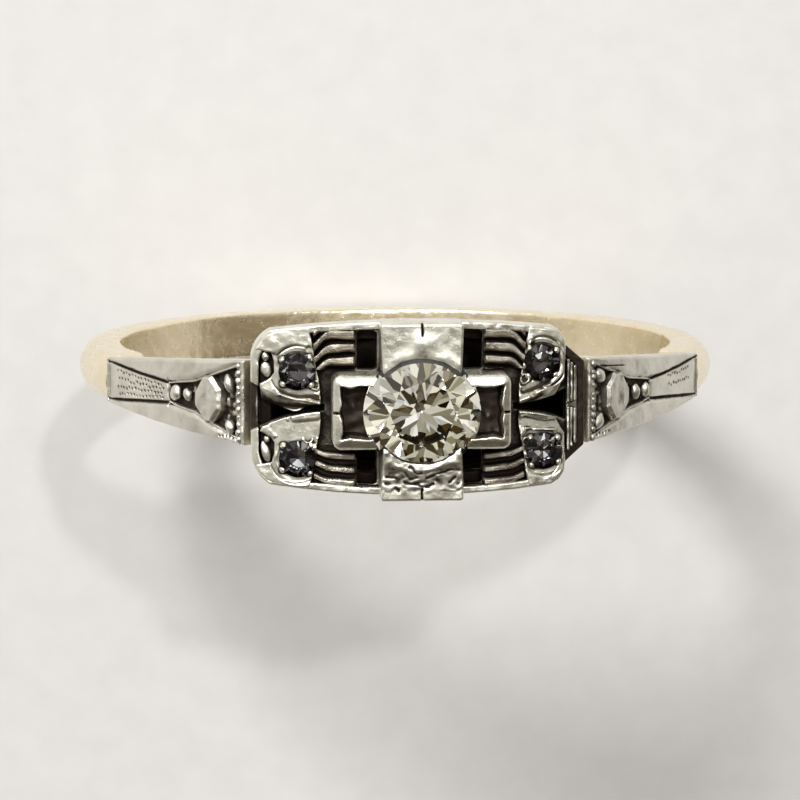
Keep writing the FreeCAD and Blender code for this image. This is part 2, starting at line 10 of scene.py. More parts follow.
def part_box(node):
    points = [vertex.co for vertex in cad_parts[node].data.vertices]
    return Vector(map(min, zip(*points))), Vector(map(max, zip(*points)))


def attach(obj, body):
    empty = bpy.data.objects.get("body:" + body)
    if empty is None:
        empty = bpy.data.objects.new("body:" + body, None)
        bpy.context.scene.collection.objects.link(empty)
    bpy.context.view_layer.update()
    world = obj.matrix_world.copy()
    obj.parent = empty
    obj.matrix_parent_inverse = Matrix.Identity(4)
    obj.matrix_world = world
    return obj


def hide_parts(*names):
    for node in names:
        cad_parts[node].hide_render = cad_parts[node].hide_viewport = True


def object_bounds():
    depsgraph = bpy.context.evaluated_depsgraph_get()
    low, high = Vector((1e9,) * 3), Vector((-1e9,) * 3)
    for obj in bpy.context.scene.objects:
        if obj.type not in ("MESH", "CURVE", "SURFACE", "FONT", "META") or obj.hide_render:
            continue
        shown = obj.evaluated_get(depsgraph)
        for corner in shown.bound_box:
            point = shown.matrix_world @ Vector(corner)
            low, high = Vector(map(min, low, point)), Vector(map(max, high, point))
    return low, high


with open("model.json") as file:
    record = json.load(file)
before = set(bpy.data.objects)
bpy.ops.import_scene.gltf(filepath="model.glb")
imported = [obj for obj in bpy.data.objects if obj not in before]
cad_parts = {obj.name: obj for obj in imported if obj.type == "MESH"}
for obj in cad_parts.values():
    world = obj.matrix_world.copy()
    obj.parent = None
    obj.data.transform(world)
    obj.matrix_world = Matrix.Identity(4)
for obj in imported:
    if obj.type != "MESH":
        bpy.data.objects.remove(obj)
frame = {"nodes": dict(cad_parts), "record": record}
cad_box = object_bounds()

# All shapes are worked out in millimetres in the CAD's frame and scaled to metres when they are made.
MM = 0.001
NODES = frame["nodes"]
SLOTS = {s["node"]: s["material_slot"] for s in frame["record"]["subparts"]}


def box_mm(node):
    low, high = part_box(node)
    return low / MM, high / MM


# ---- sizes: read from the CAD nodes, or the CAD's own figures where no node shows them ----------
_, rim_high = box_mm("head_rim")
HEAD_L, HEAD_W, DOME_TOP = rim_high.x, rim_high.y, rim_high.z    # half length, half width, top
DOME_R = 20.0                            # the head is curved along its length
PLATE_DROP, PLATE_BOTTOM = 0.25, 0.60    # how far the plate's two faces lie under the dome
RIM_WIDTH = 0.22
RIM_STEP = 0.34                          # how far the rim is cut down at its two ends
END_ZONE_X = 4.20                        # where the ribbed right end begins
GAP_START_X, GAP_HALF, GAP_FLARE = 2.70, 0.07, 0.62    # the V-shaped gap in each end of the plate
WINDOW = (1.22, 1.78, 1.08, 2.18)        # x from and to, y from and to, in each quarter of the plate
CENTRE_HOLE_R, SIDE_HOLE_R, SIDE_SEAT_R = 1.05, 0.42, 0.465
_, stone_high = box_mm("centre_diamond")
STONE_R = stone_high.x
CROWN_SHARE, PAVILION_SLOPE = 0.150, 0.84    # crown height to width, and the lower facets' slope
GIRDLE_Z = stone_high.z - CROWN_SHARE * 2 * STONE_R
CLAW_TOP, CLAW_FOOT, CLAW_INNER_X = box_mm("claw_plate_east")[1].z, 10.70, 0.98
CORNERS = {"back_right": (1, 1), "back_left": (-1, 1), "front_right": (1, -1), "front_left": (-1, -1)}


def stone_place(corner):
    """A corner diamond's centre, as distances from the head's middle."""
    low, high = box_mm("corner_diamond_" + corner)
    middle = (low + high) / 2
    return abs(middle.x), abs(middle.y)


SIDE_STONES = {corner: stone_place(corner) for corner in CORNERS}
FINGER_R = frame["record"]["mounts"][0]["dims"]["r_mm"]
SHANK_R = FINGER_R + 1.25
FACING_END = math.radians(66.0)          # where a facing's lower end lies, from straight up
FACING_TOP = (4.95, 9.75)                # x and z of its upper end
FACING_LOW_HALF, FACING_TOP_HALF, FACING_DEPTH = 0.66, 1.22, 0.45
MILGRAIN_X, GRAINS = 5.08, 11


def dome(x, offset=0.0):
    """Height of the head's domed top, moved out by offset, at an x."""
    return DOME_TOP - DOME_R + np.sqrt((DOME_R + offset) ** 2 - np.square(x))


# ---- small maths --------------------------------------------------------------------------------
def smooth(a, b, x):
    t = np.clip((x - a) / (b - a), 0.0, 1.0)
    return t * t * (3 - 2 * t)


def rounded(d, r):
    """How far a rounded edge of radius r lies under the surface, d in from the outline."""
    t = np.clip(1 - d / r, 0.0, 1.0)
    return r * (1 - np.sqrt(1 - t * t))


def hump(distance, radius, height):
    """A round bead's rise at a distance from its middle."""
    return height * np.sqrt(np.clip(1 - np.square(distance / radius), 0.0, 1.0))


def ridge(distance, width, height):
    """A soft ridge or groove, at a distance from its middle line."""
    return height * np.exp(-np.square(distance / width))


def segment_distance(px, py, a, b):
    """Distance of points to a straight line piece."""
    ax, ay, dx, dy = a[0], a[1], b[0] - a[0], b[1] - a[1]
    t = np.clip(((px - ax) * dx + (py - ay) * dy) / (dx * dx + dy * dy), 0, 1)
    return np.hypot(px - ax - t * dx, py - ay - t * dy)


def path_distance(px, py, points):
    """Distance of points to a line of several pieces."""
    return np.min([segment_distance(px, py, a, b) for a, b in zip(points[:-1], points[1:])], axis=0)


def lattice_noise(px, py, size, seed):
    """Smooth random field of about -1 to 1, with features of that size."""
    rng = np.random.default_rng(seed)
    table = rng.uniform(-1, 1, (64, 64))
    u, v = np.asarray(px) / size + 500, np.asarray(py) / size + 500
    i, j = np.floor(u).astype(int), np.floor(v).astype(int)
    fu, fv = u - i, v - j
    fu, fv = fu * fu * (3 - 2 * fu), fv * fv * (3 - 2 * fv)
    def at(a, b):
        return table[a % 64, b % 64]
    low = at(i, j) * (1 - fu) + at(i + 1, j) * fu
    high = at(i, j + 1) * (1 - fu) + at(i + 1, j + 1) * fu
    return low * (1 - fv) + high * fv


def uneven(px, py, amount, seed):
    """The slight waviness that hand filing and wear leave."""
    return amount * (0.6 * lattice_noise(px, py, 0.45, seed) + 0.4 * lattice_noise(px, py, 0.17, seed + 1))


# ---- outlines -----------------------------------------------------------------------------------
def arc(a, b, c, count=16):
    """Points of a curve from a through b to c, without the last."""
    a, b, c = (np.array(p, float) for p in (a, b, c))
    control = 2 * b - (a + c) / 2
    t = np.arange(count)[:, None] / count
    return (1 - t) ** 2 * a + 2 * t * (1 - t) * control + t ** 2 * c


def loop(*pieces):
    """One outline from single points and runs of points."""
    return np.concatenate([np.atleast_2d(np.array(p, float)) for p in pieces])


def circle(x, y, r, count=72):
    a = np.arange(count) * 2 * math.pi / count
    return np.stack([x + r * np.cos(a), y + r * np.sin(a)], 1)


def rounded_box(x0, x1, y0, y1, r, count=8):
    """A box with rounded corners, each of count + 1 points, from the (x1, y1) corner anticlockwise."""
    points = []
    middles = ((x1 - r, y1 - r, 0), (x0 + r, y1 - r, 90), (x0 + r, y0 + r, 180), (x1 - r, y0 + r, 270))
    for cx, cy, start in middles:
        for i in range(count + 1):
            a = math.radians(start + 90 * i / count)
            points.append((cx + r * math.cos(a), cy + r * math.sin(a)))
    return np.array(points)


def flipped(points, sx, sy):
    """An outline mirrored into another quarter, still anticlockwise."""
    out = np.array(points) * (sx, sy)
    return out[::-1] if sx * sy < 0 else out


def head_half(sx, inset):
    """The back of one half of the head's outline, from its end to its middle: the left has rounded-off
    corners, and the right has tighter ones and a taper down the ribbed end."""
    if sx < 0:
        rows = [(0, HEAD_W, 0, 1), (0.44 * HEAD_L, HEAD_W - 0.06, 0, 1),
                (HEAD_L - 0.55, HEAD_W - 0.27, 0.8, 1), (HEAD_L - 0.19, HEAD_W - 0.58, 0.9, 0.9),
                (HEAD_L, HEAD_W - 1.04, 1, 0.75)]
    else:
        rows = [(0, HEAD_W, 0, 1), (0.42 * HEAD_L, HEAD_W - 0.06, 0, 1),
                (3.76, HEAD_W - 0.23, 0.6, 1), (4.05, HEAD_W - 0.44, 0.9, 0.8),
                (END_ZONE_X, HEAD_W - 0.80, 0.9, 0.7), (HEAD_L, 1.20, 1, 0.75)]
    # each row is x and y on the outer edge, and how much of the inset each takes
    p = [(sx * (x - inset * mx), y - inset * my) for x, y, mx, my in rows]
    end = [p[5]] if len(p) > 5 else []
    return loop(*end, arc(p[4], p[3], p[2]), arc(p[2], p[1], p[0]), p[0])


def head_outline(inset=0.0):
    back = loop(head_half(1, inset), head_half(-1, inset)[::-1][1:])
    return loop(back, back[::-1] * (1, -1))


def rim_run(sx, from_x, to_y):
    """A line just inside the rim's outer edge at the back, from an x round the corner down to a y."""
    points = head_half(sx, 0.25 * RIM_WIDTH) * (sx, 1)
    points = points[(points[:, 0] > from_x) & (points[:, 1] > to_y)]
    return points[np.argsort(-points[:, 1])]


def gap_edge(x):
    """Half the width of the V-shaped gap at an x."""
    share = np.clip((np.abs(x) - GAP_START_X) / (HEAD_L - GAP_START_X), 0, 1)
    return GAP_HALF + GAP_FLARE * share ** 1.8


def gap_loop(end_x, side):
    xs = np.linspace(GAP_START_X, end_x, 24)
    upper = np.stack([side * xs, gap_edge(xs)], 1)
    return loop(upper, upper[::-1] * (1, -1))


# ---- mesh makers --------------------------------------------------------------------------------
def inside(px, py, loops):
    """Which points lie inside an odd number of the loops."""
    hit = np.zeros(px.shape, bool)
    for points in loops:
        ends = np.roll(points, -1, axis=0)
        for (x0, y0), (x1, y1) in zip(points, ends):
            if y0 == y1:
                continue
            crosses = (y0 > py) != (y1 > py)
            hit ^= crosses & (px < (x1 - x0) * (py - y0) / (y1 - y0) + x0)
    return hit


def nearest_on(px, py, loops):
    """Each point's distance to the loops, and its nearest place on them."""
    best = np.full(px.shape, 1e9)
    near_x, near_y = px.copy(), py.copy()
    for points in loops:
        ends = np.roll(points, -1, axis=0)
        for (x0, y0), (x1, y1) in zip(points, ends):
            dx, dy = x1 - x0, y1 - y0
            length = dx * dx + dy * dy
            if length < 1e-12:
                continue
            t = np.clip(((px - x0) * dx + (py - y0) * dy) / length, 0, 1)
            qx, qy = x0 + t * dx, y0 + t * dy
            d = np.hypot(px - qx, py - qy)
            closer = d < best
            best = np.where(closer, d, best)
            near_x, near_y = np.where(closer, qx, near_x), np.where(closer, qy, near_y)
    return best, near_x, near_y


def linked(name, data):
    obj = bpy.data.objects.new(name, data)
    bpy.context.scene.collection.objects.link(obj)
    return obj


def new_object(name, verts, faces, smooth_faces=True):
    """A mesh object from millimetre vertices; smooth_faces is a flag, or one flag per face."""
    mesh = bpy.data.meshes.new(name)
    mesh.from_pydata((np.asarray(verts) * MM).tolist(), [], [list(f) for f in faces])
    flags = np.broadcast_to(np.asarray(smooth_faces, bool), len(mesh.polygons))
    mesh.polygons.foreach_set("use_smooth", flags.copy())
    mesh.validate()
    return linked(name, mesh)


def set_shade_and_grime(obj, values):
    """How hollow each vertex is, which the metals turn into grime and painted shade: one value, or one for
    each.
    """
    layer = obj.data.attributes.new("shade_and_grime", "FLOAT", "POINT")
    layer.data.foreach_set("value", np.broadcast_to(values, len(obj.data.vertices)).astype(float).copy())


def vertex_array(mesh):
    co = np.zeros(len(mesh.vertices) * 3)
    mesh.vertices.foreach_get("co", co)
    return co.reshape(-1, 3)


def points_mm(obj):
    """The object's vertices as three millimetre arrays."""
    return vertex_array(obj.data).T / MM


def box_sum(grid, reach):
    """Sum over the square of cells within reach of each cell."""
    n = 2 * reach + 1
    total = np.pad(grid, ((reach + 1, reach), (reach + 1, reach))).cumsum(0).cumsum(1)
    return total[n:, n:] - total[:-n, n:] - total[n:, :-n] + total[:-n, :-n]


def hollowness(height, used, cell):
    """How far each point of a carved face lies under its surroundings, near and wide: 1 is a deep cut."""
    near, wide = (0.05, 0.028), (0.16, 0.075)    # how far it looks, and the depth that counts as 1
    weight = used.astype(float)
    total = np.zeros(height.shape)
    for span, scale in (near, wide):
        reach = max(1, round(span / cell))
        mean = box_sum(height * weight, reach) / np.maximum(box_sum(weight, reach), 1.0)
        total += (mean - height) / scale
    return np.clip(total, -1.0, 1.0)


def values_at(field, px, py):
    """A field's values at points: it is a function of x and y, or one number."""
    return np.broadcast_to(field(px, py) if callable(field) else field, px.shape)


def relief(name, loops, top, bottom, cell, place=None, grime_and_shade=0.0, under=0.0):
    """A closed solid on a plan outline, with holes, whose upper face is carved by top(x, y, edge distance).
    Each point keeps how hollow it is, and the given grime adds to that, which the metals paint as grime and
    shade; under is the same for the foot of its walls, where it paints shade.
    Its edges are rubbed clean. Place moves the finished vertices."""
    points = np.concatenate(loops)
    low, high = points.min(0), points.max(0)
    nx, ny = (int(n) for n in np.ceil((high - low) / cell) + 1)
    origin = (low + high) / 2 - np.array([nx, ny]) * cell / 2
    gx, gy = origin[0] + np.arange(nx + 1) * cell, origin[1] + np.arange(ny + 1) * cell
    cx, cy = np.meshgrid(gx[:-1] + cell / 2, gy[:-1] + cell / 2, indexing="ij")
    keep = inside(cx, cy, loops)
    padded = np.pad(keep, 1)
    around = [padded[:-1, :-1], padded[1:, :-1], padded[:-1, 1:], padded[1:, 1:]]
    used = np.any(around, axis=0)
    full = np.all(around, axis=0)
    vx, vy = np.meshgrid(gx, gy, indexing="ij")
    px, py = vx[used], vy[used]
    d, near_x, near_y = nearest_on(px, py, loops)
    rim = ~full[used]
    px, py, d = np.where(rim, near_x, px), np.where(rim, near_y, py), np.where(rim, 0.0, d)
    index = np.full(used.shape, -1)
    count = int(used.sum())
    index[used] = np.arange(count)
    i, j = np.nonzero(keep)
    a, b, c, e = index[i, j], index[i + 1, j], index[i + 1, j + 1], index[i, j + 1]
    upper = np.stack([a, b, c, e], 1)
    lower = upper[:, ::-1] + count
    walls = []
    for di, dj, p, q in ((0, -1, a, b), (1, 0, b, c), (0, 1, c, e), (-1, 0, e, a)):
        open_side = ~padded[i + 1 + di, j + 1 + dj]
        p, q = p[open_side], q[open_side]
        walls.append(np.stack([q, p, p + count, q + count], 1))
    walls = np.concatenate(walls)
    pz = top(px, py, d)
    height = np.zeros(used.shape)
    height[used] = pz
    rubbed_width = 0.05
    shade_and_grime = hollowness(height, used, cell)[used] * smooth(0.0, rubbed_width, d) + values_at(grime_and_shade, px, py)
    verts = np.concatenate([
        np.stack([px, py, pz], 1),
        np.stack([px, py, values_at(bottom, px, py)], 1),
    ])
    if place:
        verts = place(verts)
    faces = np.concatenate([upper, lower, walls])
    flags = np.arange(len(faces)) < len(upper)
    obj = new_object(name, verts, faces.tolist(), flags)
    set_shade_and_grime(obj, np.concatenate([shade_and_grime, values_at(under, px, py)]))
    return obj


def softened(name, node, voxel, passes, wobble):
    """The CAD node's own solid with its edges worn round and its faces a little uneven."""
    mesh = NODES[node].data.copy()
    mesh.transform(Matrix.Scale(1 / MM, 4))
    work = bmesh.new()
    work.from_mesh(mesh)
    bmesh.ops.remove_doubles(work, verts=work.verts, dist=1e-4)
    work.to_mesh(mesh)
    work.free()
    draft = linked(name, mesh)
    fine = draft.modifiers.new("fine", "REMESH")
    fine.mode = "VOXEL"
    fine.voxel_size = voxel
    wear = draft.modifiers.new("wear", "SMOOTH")
    wear.factor = 0.5
    wear.iterations = passes
    ready = bpy.data.meshes.new_from_object(draft.evaluated_get(bpy.context.evaluated_depsgraph_get()))
    bpy.data.objects.remove(draft)
    co = vertex_array(ready)
    shift = [lattice_noise(co[:, 0] + co[:, k], co[:, 1] - co[:, 2], 0.7, 40 + k) for k in range(3)]
    co += wobble * np.stack(shift, 1)
    ready.vertices.foreach_set("co", (co * MM).ravel())
    ready.polygons.foreach_set("use_smooth", np.ones(len(ready.polygons), bool))
    ready.update()
    ready.name = name
    return linked(name, ready)


def blobs(name, items, seed):
    """Worn beads as one object: each item is (centre, radii, turn matrix)."""
    base = bmesh.new()
    bmesh.ops.create_icosphere(base, subdivisions=3, radius=1.0)
    unit = np.array([v.co for v in base.verts])
    tris = np.array([[v.index for v in f.verts] for f in base.faces])
    base.free()
    verts, faces = [], []
    for k, (centre, radii, turn) in enumerate(items):
        swell = 1 + 0.11 * lattice_noise(unit[:, 0] + 0.7 * unit[:, 2], unit[:, 1], 0.7, seed + k)
        shaped = unit * swell[:, None] * np.array(radii)
        shaped = shaped @ np.array(turn).T + np.array(centre)
        faces.append(tris + sum(len(v) for v in verts))
        verts.append(shaped)
    return new_object(name, np.concatenate(verts), np.concatenate(faces).tolist())


# ---- materials ----------------------------------------------------------------------------------
def node_tree(name):
    material = bpy.data.materials.new(name)
    material.use_nodes = True
    tree = material.node_tree
    return material, tree, tree.nodes["Principled BSDF"]


def feed(tree, node, inputs):
    """Sets a node's inputs, each to a value or to another node's output."""
    for key, value in inputs.items():
        if isinstance(value, bpy.types.NodeSocket):
            tree.links.new(value, node.inputs[key])
        else:
            node.inputs[key].default_value = value


def add(tree, kind, inputs, **settings):
    node = tree.nodes.new(kind)
    for key, value in settings.items():
        setattr(node, key, value)
    feed(tree, node, inputs)
    return node


def maths(tree, operation, a, b):
    return add(tree, "ShaderNodeMath", {0: a, 1: b}, operation=operation).outputs[0]


def ramp(tree, source, stops):
    node = add(tree, "ShaderNodeValToRGB", {0: source})
    elements = node.color_ramp.elements
    while len(elements) < len(stops):
        elements.new(0.5)
    for element, (position, color) in zip(elements, stops):
        element.position = position
        element.color = (*color, 1)
    return node.outputs[0]


def mix_colors(tree, share, a, b, blend="MIX"):
    a, b = ((*color, 1) if isinstance(color, tuple) else color for color in (a, b))
    node = add(tree, "ShaderNodeMix", {0: share, 6: a, 7: b}, data_type="RGBA", blend_type=blend)
    return node.outputs[2]


def grey(v):
    return (v, v, v)


def metal(name, bright, worn, grime_and_shade, shade_mm, clean_and_lit_range, roughness, scratch=1.0, pits=0.0):
    """Worn metal: its hollows are painted dark, partly as grime and partly as painted shade, its surface has
    fine scratches, and its polish varies.
    """
    material, tree, shader = node_tree(name)
    place = add(tree, "ShaderNodeTexCoord", {}).outputs["Object"]
    in_mm = add(tree, "ShaderNodeMapping", {"Vector": place, "Scale": (1 / MM,) * 3}).outputs[0]

    def texture(scale, detail=3.0, stretch=(1.0, 1.0, 1.0), turn=0.0):
        turned = {"Vector": in_mm, "Scale": stretch, "Rotation": (0.0, 0.0, turn)}
        mapping = add(tree, "ShaderNodeMapping", turned)
        field = {"Vector": mapping.outputs[0], "Scale": scale, "Detail": detail}
        return add(tree, "ShaderNodeTexNoise", field).outputs["Fac"]

    tone = ramp(tree, texture(1.3), [(0.35, worn), (0.62, bright)])
    # painted shade: ambient occlusion and the hollow values blend the base colour towards the grime colour,
    # standing for grime in the hollows and for the shade that falls there
    shade = add(tree, "ShaderNodeAmbientOcclusion", {"Distance": shade_mm * MM}, samples=8)
    carved = add(tree, "ShaderNodeAttribute", {}, attribute_name="shade_and_grime").outputs["Fac"]
    speckle = maths(tree, "MULTIPLY", maths(tree, "SUBTRACT", texture(13.0, 4.0), 0.5), 0.30)
    shaded = maths(tree, "ADD", shade.outputs["AO"], speckle)
    openness = maths(tree, "SUBTRACT", shaded, maths(tree, "MULTIPLY", carved, 0.75))
    clean_and_lit = ramp(tree, openness, [(clean_and_lit_range[0], grey(0.0)), (clean_and_lit_range[1], grey(1.0))])

    polish = ramp(tree, texture(2.6, 4.0), [(0.3, grey(roughness[0])), (0.7, grey(roughness[1]))])
    dull = maths(tree, "MULTIPLY", maths(tree, "SUBTRACT", 1.0, clean_and_lit), 0.25)

    waves = (
        (texture(9.0, 5.0, (1.0, 14.0, 3.0), 0.35), 0.5),     # scratches one way
        (texture(7.0, 5.0, (12.0, 1.0, 3.0), -0.2), 0.4),     # and across them
        (texture(3.2, 2.0), 2.2),                             # dents
        (texture(26.0, 2.0), pits),
    )
    height = 0.0
    for field, amount in waves:
        height = maths(tree, "ADD", maths(tree, "MULTIPLY", field, amount), height)
    depth_mm = 0.014
    bumps = {"Strength": 0.6 * scratch, "Distance": depth_mm * MM, "Height": height}
    feed(tree, shader, {
        "Metallic": 1.0,
        "Base Color": mix_colors(tree, clean_and_lit, grime_and_shade, tone),
        "Roughness": maths(tree, "ADD", polish, dull),
        "Normal": add(tree, "ShaderNodeBump", bumps).outputs[0],
    })
    return material


DIAMOND_IOR = 2.417


def gem(name, dark, clear, share, gloss, salt=0.0):
    """Diamond whose facets differ: this share of them are tinted dark and the others clear. Gloss is how
    strongly their outside mirrors, and salt changes which facets are dark."""
    material, tree, shader = node_tree(name)
    facing = add(tree, "ShaderNodeNewGeometry", {}).outputs["True Normal"]
    snap = add(tree, "ShaderNodeVectorMath", {0: facing, 1: (0.02 + salt,) * 3}, operation="SNAP")
    white = add(tree, "ShaderNodeTexWhiteNoise", {0: snap.outputs[0]}, noise_dimensions="3D")
    tints = [(share, dark), (min(share + 0.1, 1.0), clear)]
    feed(tree, shader, {
        "Base Color": ramp(tree, white.outputs["Value"], tints),
        "Roughness": 0.0,
        "IOR": DIAMOND_IOR,
        "Transmission Weight": 1.0,
        "Specular Tint": (*grey(gloss), 1),
    })
    return material


# Each metal's bright and worn colours, its colour of grime and painted shade, how far its painted shade
# reaches in millimetres, the openness that is fully grimy and shaded and the one that is clean and lit, its
# lowest and highest roughness, and the depth of scratches and pits.
METALS = {
    "platinum": ((0.88, 0.87, 0.77), (0.74, 0.725, 0.62), (0.054, 0.042, 0.034), 0.45,
                 (0.30, 0.78), (0.24, 0.38)),
    "engraved_platinum": ((0.76, 0.745, 0.66), (0.62, 0.605, 0.53), (0.060, 0.047, 0.038), 0.30,
                          (0.35, 0.85), (0.26, 0.42), 1.1, 0.8),
    "darkened_platinum": ((0.56, 0.52, 0.45), (0.26, 0.225, 0.185), (0.020, 0.015, 0.012), 0.6,
                          (0.40, 0.95), (0.20, 0.40), 1.3, 1.2),
    "yellow_gold": ((0.97, 0.88, 0.68), (0.93, 0.82, 0.60), (0.018, 0.013, 0.010), 1.1,
                    (0.24, 0.55), (0.15, 0.30)),
}
MATERIALS = {name: metal(name, *look) for name, look in METALS.items()}
MATERIALS["diamond"] = gem("diamond", (0.88, 0.84, 0.68), (0.97, 0.96, 0.92), 0.35, 0.35)
# painted shade: most facets of the corner stones are tinted near black for the dark setting they mirror
PAINTED_SHADE_FACET, ICE = (0.020, 0.015, 0.017), (0.94, 0.97, 1.0)
SHADE_PAINTED_DIAMONDS = {
    "corner_diamond_" + corner: gem("shade_painted_diamond_" + corner, PAINTED_SHADE_FACET, ICE, 0.58, 0.08, 0.003 * k)
    for k, corner in enumerate(CORNERS)
}


def piece(obj, *nodes):
    """The object stands for these CAD nodes and takes their finish."""
    slot = SLOTS[nodes[0]]
    obj.data.materials.clear()
    obj.data.materials.append(MATERIALS[slot])
    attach(obj, "root")
    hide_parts(*nodes)
    return obj


# ---- head ---------------------------------------------------------------------------------------
def plate_bottom(x, y):
    return dome(x, -PLATE_BOTTOM)


def into_plate(x, y):
    """Just under the plate's upper face, where the parts that stand on it end."""
    return dome(x, -PLATE_DROP - 0.02)


def make_rim():
    """The head's rim, cut down at the left gap's mouth and along the right end, with painted shade on its
    inner wall and grime and painted shade on its cut-down parts.
    """
    def cut_down(x, y):
        mouth = smooth(0.04, -0.04, np.abs(y) - gap_edge(x)) * smooth(-3.9, -4.1, x)
        return np.maximum(mouth, smooth(END_ZONE_X - 0.06, END_ZONE_X + 0.02, x))
    def top(x, y, d):
        lean = 0.10 * smooth(HEAD_L - 0.35, HEAD_L, -x)
        return dome(x) - rounded(d, 0.06) - lean + uneven(x, y, 0.03, 3) - RIM_STEP * cut_down(x, y)
    def inner_wall(x, y):
        inset, _, _ = nearest_on(x, y, [head_outline()])
        return 0.9 * smooth(0.5 * RIM_WIDTH, 0.8 * RIM_WIDTH, inset)
    return relief("rim", [head_outline(), head_outline(RIM_WIDTH)], top, plate_bottom, 0.022,
                  grime_and_shade=lambda x, y: 1.4 * cut_down(x, y), under=inner_wall)


def make_plate():
    """The plate inside the rim, pierced by the gaps, the windows and the light holes."""
    holes = [circle(0, 0, CENTRE_HOLE_R), gap_loop(END_ZONE_X, 1), gap_loop(HEAD_L - RIM_WIDTH - 0.02, -1)]
    for corner, (sx, sy) in CORNERS.items():
        holes.append(flipped(rounded_box(*WINDOW, 0.10), sx, sy))
        holes.append(flipped(circle(*SIDE_STONES[corner], SIDE_HOLE_R, 32), sx, sy))
    def top(x, y, d):
        return dome(x, -PLATE_DROP) - rounded(d, 0.05) + uneven(x, y, 0.02, 9)
    outlines = [head_outline(RIM_WIDTH), *holes]
    # grime and painted shade darken the plate's top a little, and painted shade darkens the walls of its
    # openings
    return relief("pierced_deck", outlines, top, plate_bottom, 0.03, grime_and_shade=0.25, under=1.2)


# The chaser's marks on each leaf, as distances from the head's middle. A cut is a groove, a ridge stands up
# and a slope falls away beside its path: each has its path, width and depth. A bead, and a ring with a pit
# in it, have their place, radius and height.
LEAF_MARKS = {
    "back_left": [
        ("cut", [(4.00, 0.78), (3.66, 0.47), (3.25, 0.42), (2.88, 0.28)], 0.050, 0.13),
        ("ridge", [(3.95, 0.40), (3.50, 0.27), (3.07, 0.22), (2.80, 0.16)], 0.055, 0.09),
        ("ridge", [(3.10, 0.24), (2.82, 0.19)], 0.075, 0.10),
        ("cut", [(4.10, 1.52), (4.14, 1.20), (4.04, 0.86)], 0.030, 0.05),
        ("cut", [(2.92, 1.45), (3.02, 1.62), (3.14, 1.70)], 0.040, 0.10),
        ("ring", (3.02, 0.98), 0.10, 0.10), ("ring", (2.96, 0.66), 0.12, 0.11),
        ("bead", (3.10, 1.40), 0.11, 0.13),
    ],
    "front_left": [
        ("cut", [(4.16, 1.02), (3.86, 0.86), (3.50, 0.66), (3.20, 0.62), (2.90, 0.66)], 0.055, 0.15),
        ("cut", [(3.66, 0.30), (3.60, 0.62)], 0.028, 0.06),
        ("slope", [(3.62, 0.26), (2.80, 0.16)], 0.42, 0.15),
        ("cut", [(4.16, 1.10), (4.18, 1.50), (4.02, 1.86)], 0.030, 0.06),
        ("ring", (3.16, 0.86), 0.13, 0.12), ("bead", (2.98, 1.12), 0.12, 0.13),
        ("ring", (2.98, 1.50), 0.09, 0.08),
    ],
    "back_right": [
        ("ridge", [(4.02, 0.92), (3.74, 0.62), (3.60, 0.46)], 0.12, 0.09),
        ("ridge", [(3.66, 0.62), (3.36, 0.42), (3.22, 0.32)], 0.075, 0.12),
        ("ridge", [(3.18, 0.30), (2.84, 0.18)], 0.085, 0.12),
        ("cut", [(3.62, 0.74), (3.30, 0.58), (2.94, 0.46)], 0.050, 0.14),
        ("ridge", [(3.18, 1.96), (3.04, 1.52)], 0.060, 0.06),
        ("ring", (2.98, 0.80), 0.12, 0.12), ("bead", (2.98, 1.18), 0.12, 0.12),
    ],
    "front_right": [
        ("ridge", [(4.06, 0.34), (3.60, 0.24), (2.86, 0.16)], 0.080, 0.06),
        ("cut", [(3.96, 0.52), (3.50, 0.56), (2.96, 0.44)], 0.100, 0.10),
        ("ridge", [(3.90, 0.68), (3.40, 0.66), (3.02, 0.62)], 0.030, 0.07),
        ("cut", [(3.98, 0.76), (4.04, 1.20), (3.94, 1.60)], 0.035, 0.08),
        ("ring", (3.04, 1.00), 0.11, 0.11), ("bead", (3.00, 1.36), 0.12, 0.12),
    ],
}


def carve(z, u, v, marks):
    """Adds a list of marks to a height field."""
    for kind, path, width, depth in marks:
        if kind in ("ring", "bead"):
            away = np.hypot(u - path[0], v - path[1])
            if kind == "bead":
                z = np.maximum(z, hump(away, width, depth) - 0.02)
            else:
                z = z + ridge(away - width, 0.035, 0.6 * depth) - ridge(away, 0.6 * width, depth)
                z = z - ridge(away - 1.65 * width, 0.030, 0.6 * depth)
        else:
            away = path_distance(u, v, path)
            if kind == "ridge":
                z = z + 1.3 * ridge(away, width, depth)
            elif kind == "slope":
                z = z - depth * smooth(0.06, width, away) * smooth(width * 1.7, width * 1.2, away)
            else:
                z = z - 1.4 * ridge(away, 1.25 * width, depth)
    return z


def leaf_outline(sx, flange):
    """A back leaf's outline, as distances from the head's middle; a flange reaches that far into the gap."""
    if sx < 0:
        outer = loop(rim_run(sx, 2.96, 1.62), (4.17, 1.56), (4.10, 1.32), (4.09, 1.00),
                     (4.20, 0.84), (4.50, 0.68))
        tip = 4.44
    else:
        outer = loop(rim_run(sx, 2.96, 1.60), (4.15, 1.45), (4.13, 0.78), (4.02, 0.62))
        tip = 3.86
    xs = np.linspace(tip, 2.80, 14)
    gap_side = np.stack([xs, gap_edge(xs) + 0.02 - flange * smooth(2.9, 3.6, xs)], 1)
    return loop(outer, gap_side, (2.80, 0.30), (2.83, 0.70), (2.92, 1.10), (2.98, 1.45), (3.02, 1.85))


